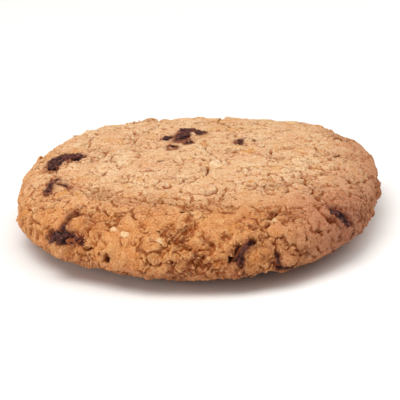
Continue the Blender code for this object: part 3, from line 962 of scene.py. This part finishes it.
# Painted shade for the gaps: golden on the top, brown on the flank and the near rim
gap_shade_colour = painted(tree, found, GAP_SHADE_GOLDEN, [("toast_and_shade", 0.0, 1.0, 1.0, GAP_SHADE_BROWN)])
BAKED_LAYERS = (
    # Painted shade, pinker in hue, on the near right flank and low on the near flank
    ("rosy_shade", 0.0, 1.0, 0.7, ROSY_SHADE_BROWN),
    ("dark_specks", 0.0, 1.0, 1.0, ORANGE_SPECK_AND_SHADE),
    ("tone", 0.9, 1.0, 0.5, OAT_CREAM_AND_HIGHLIGHT),
    ("tone", 0.06, 0.0, 0.7, OAT_ORANGE),
    ("grit", 0.42, 0.28, 0.6, ORANGE_SPECK_AND_SHADE),
    ("freckles", 0.36, 0.24, 0.6, FRECKLE_AND_SHADE_BROWN),
    # Painted shade: the gaps between chips and the pores are painted darker
    ("gap", 0.1, 0.9, 0.85, gap_shade_colour),
    # Painted shade: fine and wide hollows of the relief are painted orange, and the deepest dark brown
    ("crisp", 0.15, 0.9, 0.6, ORANGE_SPECK_AND_SHADE),
    ("hollow", 0.05, 0.6, 0.7, ORANGE_SPECK_AND_SHADE),
    ("hollow", 0.55, 1.4, 0.9, FRECKLE_AND_SHADE_BROWN),
    # Real raisin-juice stains round the openings, and painted shade low on the near flank and on the near
    # right
    ("stain_and_shade", 0.2, 1.0, 0.75, RAISIN_STAIN_AND_SHADE),
)
colour = painted(tree, found, colour, BAKED_LAYERS)
tree.links.new(colour, shader.inputs["Base Color"])
print("layers of colour:", len(SKIN_LAYERS) + len(BAKED_LAYERS) + 1)

# %% The dough's fine bumps
# Crumbs finer than the mesh can hold
bump = None
for name, strength, depth in (("specks", 1.0, 0.34), ("freckles", 0.5, 0.25)):
    links = [("Height", found[name])]
    if bump:
        links.append(("Normal", bump.outputs["Normal"]))
    bump = add_node(tree, "ShaderNodeBump", links, Strength=strength, Distance=depth * MM)
tree.links.new(bump.outputs["Normal"], shader.inputs["Normal"])
dough_material = material


def finish_dough(piece):
    piece.data.materials.clear()
    piece.data.materials.append(dough_material)
    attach(piece, "root")


finish_dough(dough)
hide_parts("dough")
print("nodes in the dough's material:", len(tree.nodes))

# %% [markdown]
# Raisins
#
# A raisin is a dried grape: its skin has shrunk into deep folds that run roughly along it, with
# knobs between them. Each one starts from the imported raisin, which has the size and place, and a
# finer grid then takes the folds and knobs. Where it shows on top, it is drawn up to the dough.

# %% Model the raisins
RAISIN_VOXEL = 0.13 * MM
FOLD_SPAN, FOLD_DEEP = 1.5 * MM, 0.4 * MM
KNOB_SPAN, KNOB_HIGH = 1.15 * MM, 0.3 * MM
RIM_REACH = 0.4 * MM  # where the dough meets the raisin, it stains the skin brown


def knob(place):
    """A round knob in each cell, with a crease between it and the next."""
    distances, _ = noise.voronoi(place)
    return 1.0 - 1.5 * distances[0] - 0.6 * math.exp(-(((distances[1] - distances[0]) / 0.18) ** 2))


def wrinkled_raisin(name, seed):
    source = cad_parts[name]
    piece = bpy.data.objects.new(name + "_skin", source.data.copy())
    bpy.context.scene.collection.objects.link(piece)
    only(piece)
    bpy.ops.object.mode_set(mode="EDIT")
    bpy.ops.mesh.select_all(action="SELECT")
    bpy.ops.mesh.remove_doubles(threshold=0.001 * MM)
    bpy.ops.object.mode_set(mode="OBJECT")
    apply_modifier(piece, "even grid", "REMESH", mode="VOXEL", voxel_size=RAISIN_VOXEL)
    apply_modifier(piece, "soften", "SMOOTH", factor=0.8, iterations=6)
    places, normals = points_of(piece), normals_of(piece)
    middle, long_axis, _ = lying_oval(source.data)
    along = (places - middle) @ long_axis
    squeezed = places - 0.62 * along[:, None] * long_axis  # stretches the folds along the raisin
    swirl = bent(squeezed, 2.2 * MM, 0.9 * MM)
    folds = 1.0 - 2.2 * np.abs(noise_at(swirl, FOLD_SPAN, 3.7 * seed))
    knob_places = bent(places, 1.2 * MM, 0.3 * MM) / KNOB_SPAN + 1.3 * seed
    knobs = np.array([knob(Vector(p)) for p in knob_places])
    ridges = 0.5 * folds + 0.6 * knobs
    lift = FOLD_DEEP * (folds - 0.75) + KNOB_HIGH * (knobs - 0.3)
    places = seated(name, places)
    under = np.array([nearest.find(point)[1] for point in places])
    if name in SEATING:
        stands = np.einsum("ij,ij->i", places - start[under], outward[under])
        facing = np.einsum("ij,ij->i", normals, outward[under]) > 0.0
        shown = smooth_step(0.5 * MM, -0.1 * MM, edge_distance[under]) * facing
        rise = shown * np.maximum(SEATING[name][1] * MM - stands, 0.0)
        places = places + outward[under] * rise[:, None]
    move_points(piece, places + normals * lift[:, None])
    rim = smooth_step(-RIM_REACH, 0.0, edge_distance[under])
    # The crease mark is high on ridges and knobs and low in the creases; the raisin's colour paints sheen
    # and shade from it
    for mark_name, values in (("crease", np.clip(ridges, -1.0, 1.0)), ("rim", rim)):
        attribute = piece.data.attributes.new(mark_name, "FLOAT", "POINT")
        attribute.data.foreach_set("value", values.astype(np.float32))
    bpy.ops.object.shade_smooth()
    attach(piece, "root")
    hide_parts(name)
    return piece


raisins = [wrinkled_raisin(name, seed) for seed, name in enumerate(RAISIN_NODES, start=1)]
print("raisins:", {piece.name: len(piece.data.polygons) for piece in raisins})

# %% The raisins' material
# Dried grape skin is a little waxy. Its ridges and knobs are painted lighter than its creases: painted
# sheen on the ridges and painted shade in the creases. Sugar makes a greyish bloom on it, and the dough
# leaves a brown smear where it touched
RAISIN_DARK = "#200A06"
RAISIN_RIDGE_SHEEN = "#5C2C22"
SUGAR_BLOOM = "#8C5E58"
DOUGH_SMEAR = "#9A5A38"
RAISIN_NOISES = {"bloom": (0.9, 4.0, 0.75), "smear": (1.3, 5.0, 0.75), "wrinkles": (0.4, 3.0, 0.6)}
RAISIN_LAYERS = (
    # Painted sheen on the ridges and knobs, and painted shade in the creases
    ("crease", -0.1, 0.8, 1.0, RAISIN_RIDGE_SHEEN),
    ("bloom", 0.52, 0.7, 0.75, SUGAR_BLOOM),
    ("rim", 0.1, 1.0, 0.7, DOUGH_SMEAR),
    ("smear", 0.61, 0.66, 0.85, DOUGH_SMEAR),
)

material, tree, shader = new_material("raisin_skin", 0.5, 0.15)
found = patterns(tree, ("crease", "rim"), RAISIN_NOISES)
tree.links.new(painted(tree, found, RAISIN_DARK, RAISIN_LAYERS), shader.inputs["Base Color"])
bump = add_node(tree, "ShaderNodeBump", [("Height", found["wrinkles"])], Strength=0.8, Distance=0.15 * MM)
tree.links.new(bump.outputs["Normal"], shader.inputs["Normal"])
for piece in raisins:
    piece.data.materials.clear()
    piece.data.materials.append(material)
print("nodes in the raisins' material:", len(tree.nodes))

# %% [markdown]
# Crumbs and loose oats
#
# Crumbs that broke off the crust stuck to it again before it set. Each is a small angular lump,
# modelled once from an icosphere whose corners are pushed about, then copied thousands of times
# with its own size and turn, more of them where the skin is broken. The oats are thin ragged ovals
# that lie nearly flat in the skin.

# %% Model a crumb and an oat once
CRUMB_SHAPES, OAT_SHAPES = 6, 4


def random_corners(obj, share, seed):
    only(obj)
    bpy.ops.object.mode_set(mode="EDIT")
    bpy.ops.mesh.select_all(action="SELECT")
    bpy.ops.transform.vertex_random(offset=share, uniform=1.0, normal=0.0, seed=seed)
    bpy.ops.object.mode_set(mode="OBJECT")


def taken_shape(obj):
    """The corners and the triangles of a pattern object, which is then removed."""
    apply_modifier(obj, "triangles", "TRIANGULATE")
    shape = points_of(obj), np.array([tuple(p.vertices) for p in obj.data.polygons])
    bpy.data.objects.remove(obj)
    return shape


def crumb_shape(seed):
    bpy.ops.object.select_all(action="DESELECT")
    bpy.ops.mesh.primitive_ico_sphere_add(subdivisions=1, radius=1.0)
    random_corners(bpy.context.object, 0.45, seed)
    return taken_shape(bpy.context.object)


def oat_shape(seed):
    bpy.ops.object.select_all(action="DESELECT")
    bpy.ops.mesh.primitive_circle_add(vertices=11, radius=1.0, fill_type="NGON")
    obj = bpy.context.object
    bpy.ops.object.mode_set(mode="EDIT")
    bpy.ops.mesh.select_all(action="SELECT")
    bpy.ops.mesh.extrude_region_move(TRANSFORM_OT_translate={"value": (0.0, 0.0, 0.12)})
    bpy.ops.mesh.inset(thickness=0.3, depth=0.05)
    bpy.ops.mesh.inset(thickness=0.35, depth=-0.03)
    bpy.ops.mesh.select_all(action="SELECT")
    bpy.ops.mesh.normals_make_consistent(inside=False)
    bpy.ops.object.mode_set(mode="OBJECT")
    random_corners(obj, 0.2, seed)
    return taken_shape(obj)


crumb_shapes = [crumb_shape(seed) for seed in range(1, CRUMB_SHAPES + 1)]
oat_shapes = [oat_shape(seed) for seed in range(1, OAT_SHAPES + 1)]
print("faces of a crumb:", len(crumb_shapes[0][1]), "and of an oat:", len(oat_shapes[0][1]))

# %% Helpers for scattering
def picked(points, weight, count):
    """The indices of count points, drawn by weight, the same ones whatever order the points are in."""
    share = np.modf(np.abs(np.sin(points @ np.array((1.3e6, 7.8e6, 3.7e6)))) * 43758.5)[0]
    order = np.argsort(np.log(share + 1e-12) / np.maximum(weight, 1e-6))
    return order[::-1][:count]


def turned_frames(draw, normals, wobble):
    """A turn for each copy: its third axis near the skin's normal, the other two at random."""
    up = normals + wobble * draw.normal(size=normals.shape)
    up /= np.linalg.norm(up, axis=1)[:, None]
    side = np.cross(up, draw.normal(size=normals.shape))
    side /= np.linalg.norm(side, axis=1)[:, None]
    return np.stack([side, np.cross(up, side), up], axis=2)


def strewn(name, shapes, places, turns, sizes, matches, tones):
    """One mesh of many copies, each sized, turned and placed, with the skin's marks under it."""
    corners, faces, owners = [], [], []
    total = 0
    for copy, place in enumerate(places):
        points, triangles = shapes[copy % len(shapes)]
        corners.append((points * sizes[copy]) @ turns[copy].T + place)
        faces.append(triangles + total)
        owners.append(np.full(len(points), copy))
        total += len(points)
    corners, owners = np.concatenate(corners), np.concatenate(owners)
    corners[:, 2] = np.maximum(corners[:, 2], 0.0)  # what reaches the table is flattened on it
    mesh = bpy.data.meshes.new(name)
    mesh.from_pydata(corners.tolist(), [], np.concatenate(faces).tolist())
    mesh.update()
    piece = bpy.data.objects.new(name, mesh)
    bpy.context.scene.collection.objects.link(piece)
    mark_points(piece, matches[owners])
    own_marks = {"hollow": 0.0, "crisp": 0.0, "crumbly": 0.15, "stain_and_shade": 0.0, "gap": 0.0}
    for mark_name, value in own_marks.items():
        values = np.full(total, value, dtype=np.float32)
        piece.data.attributes[mark_name].data.foreach_set("value", values)
    piece.data.attributes["tone"].data.foreach_set("value", tones[owners].astype(np.float32))
    finish_dough(piece)
    return piece


# %% Scatter the crumbs over the skin
CRUMB_COUNT, CRUMB_SEED = 9800, 77
CRUMB_HALF = (0.09 * MM, 0.3 * MM)
CLEAR_OF_TABLE = 0.5 * MM
ON_EACH_RAISIN = 4
LARGE_OPENING = 3000  # points of a raisin that show; a smaller one would be hidden by crumbs

draw = np.random.default_rng(CRUMB_SEED)
free = (moved[:, 2] > CLEAR_OF_TABLE) & (opened < 0.3) & (hollow < 0.9)
weight = free * (0.3 + 1.2 * np.clip(crumbly, 0.0, 1.0) + 0.3 * steepness + 2.5 * stain_and_shade)
picks = picked(start, weight, CRUMB_COUNT)
places, ups, matches = moved[picks], skin_normals[picks], picks
for piece in raisins:
    skin, skin_ups = points_of(piece), normals_of(piece)
    under = np.array([nearest.find(point)[1] for point in skin])
    height_over = np.einsum("ij,ij->i", skin - moved[under], outward[under])
    bare = (opened[under] > 0.5) & (height_over > 0.0)
    if bare.sum() > LARGE_OPENING:
        chosen = picked(skin, bare, ON_EACH_RAISIN)
        places = np.concatenate([places, skin[chosen]])
        ups = np.concatenate([ups, skin_ups[chosen]])
        matches = np.concatenate([matches, under[chosen]])
size = CRUMB_HALF[0] + (CRUMB_HALF[1] - CRUMB_HALF[0]) * draw.random(len(places)) ** 2.2
sizes = size[:, None] * draw.uniform(0.65, 1.2, (len(places), 3))
places = places + ups * (size * draw.uniform(-0.5, 0.3, len(places)))[:, None]
tones = 0.9 * draw.beta(0.5, 0.5, len(places))
turns = turned_frames(draw, ups, 2.0)
crumbs = strewn("crumbs", crumb_shapes, places, turns, sizes, matches, tones)
print("crumbs:", len(crumbs.data.polygons), "triangles")

# %% Lay loose oats
OAT_COUNT, OAT_SEED = 45, 78
OAT_HALF = (0.8 * MM, 1.6 * MM)

draw = np.random.default_rng(OAT_SEED)
flat = free * (np.abs(hollow) < 0.4)
picks = picked(start + OAT_SEED * MM, flat, OAT_COUNT)
size = draw.uniform(*OAT_HALF, OAT_COUNT)
sizes = np.stack([size, size * draw.uniform(0.6, 0.85, OAT_COUNT), size * 0.9], axis=1)
sunk = size * draw.uniform(0.03, 0.12, OAT_COUNT)
places = moved[picks] - skin_normals[picks] * sunk[:, None]
tones = draw.choice([0.1, 0.35, 0.7, 0.8], OAT_COUNT)
turns = turned_frames(draw, skin_normals[picks], 0.12)
oats = strewn("loose_oats", oat_shapes, places, turns, sizes, picks, tones)
only(oats)
bpy.ops.object.shade_smooth_by_angle(angle=math.radians(40.0))
print("loose oats:", len(oats.data.polygons), "triangles")

# %% [markdown]
# Floor, light and camera
#
# The cookie was photographed from about 20 degrees above the tray's level through a long lens. Its
# light is broad and soft from above, so the top is bright and the near flank in half shade, with
# the left side a little lighter than the right. Three large area lights and a white sky give that,
# and the dough's colour adds painted shade to the near flank and the near right side.

# %% Floor
FLOOR_SIZE, FLOOR_HEIGHT = 3.0, -0.02 * MM
FLOOR_WHITE = "#F4F2EF"
bpy.ops.object.select_all(action="DESELECT")
bpy.ops.mesh.primitive_plane_add(size=FLOOR_SIZE, location=(0.0, 0.0, FLOOR_HEIGHT))
floor = bpy.context.object
floor.name = "floor"
material, tree, shader = new_material("pale_floor", 0.9, 0.2)
shader.inputs["Base Color"].default_value = linear(FLOOR_WHITE)
floor.data.materials.append(material)
print("floor:", FLOOR_SIZE, "m wide")

# %% Light
SKY_STRENGTH = 0.38
# Place in metres, size in metres and power in watts
LIGHTS = {
    "key": ((-0.16, -0.14, 0.54), 0.42, 2.45),
    "overhead": ((0.28, 0.06, 0.48), 0.6, 1.6),
    "fill": ((-0.43, -0.27, 0.07), 0.4, 1.25),
}

world = bpy.data.worlds.new("studio")
bpy.context.scene.world = world
world.use_nodes = True
world.node_tree.nodes["Background"].inputs["Color"].default_value = linear("#FFFFFF")
world.node_tree.nodes["Background"].inputs["Strength"].default_value = SKY_STRENGTH

for name, (place, size, power) in LIGHTS.items():
    data = bpy.data.lights.new(name, "AREA")
    data.size = size
    data.energy = power
    light = bpy.data.objects.new(name, data)
    light.location = place
    light.rotation_euler = (-Vector(place)).to_track_quat("-Z", "Y").to_euler()
    bpy.context.scene.collection.objects.link(light)
print("lights:", sorted(LIGHTS))

# %% Camera
CAMERA_FAR = 0.45
CAMERA_UP = math.radians(20.0)
CAMERA_ROLL = math.radians(-1.95)
FOCAL_PIXELS, PICTURE_PIXELS, SENSOR = 2115.0, 400.0, 36.0
AIM = Vector((-0.30 * MM, 0.90 * MM, 7.8 * MM))
AIM_RIGHT, AIM_UP = 0.17 * MM, -2.34 * MM

camera_data = bpy.data.cameras.new("camera")
camera = bpy.data.objects.new("camera", camera_data)
bpy.context.scene.collection.objects.link(camera)
camera_data.sensor_width = SENSOR
camera_data.lens = FOCAL_PIXELS / PICTURE_PIXELS * SENSOR
turn = Euler((0.5 * math.pi - CAMERA_UP, 0.0, 0.0)).to_matrix() @ Matrix.Rotation(CAMERA_ROLL, 3, "Z")
camera.rotation_euler = turn.to_euler()
camera.location = AIM + turn @ Vector((AIM_RIGHT, AIM_UP, CAMERA_FAR))
bpy.context.scene.camera = camera
bpy.context.scene.view_settings.view_transform = "Standard"
print("camera, mm:", [round(1000 * v, 1) for v in camera.location], "lens", round(camera_data.lens, 1))
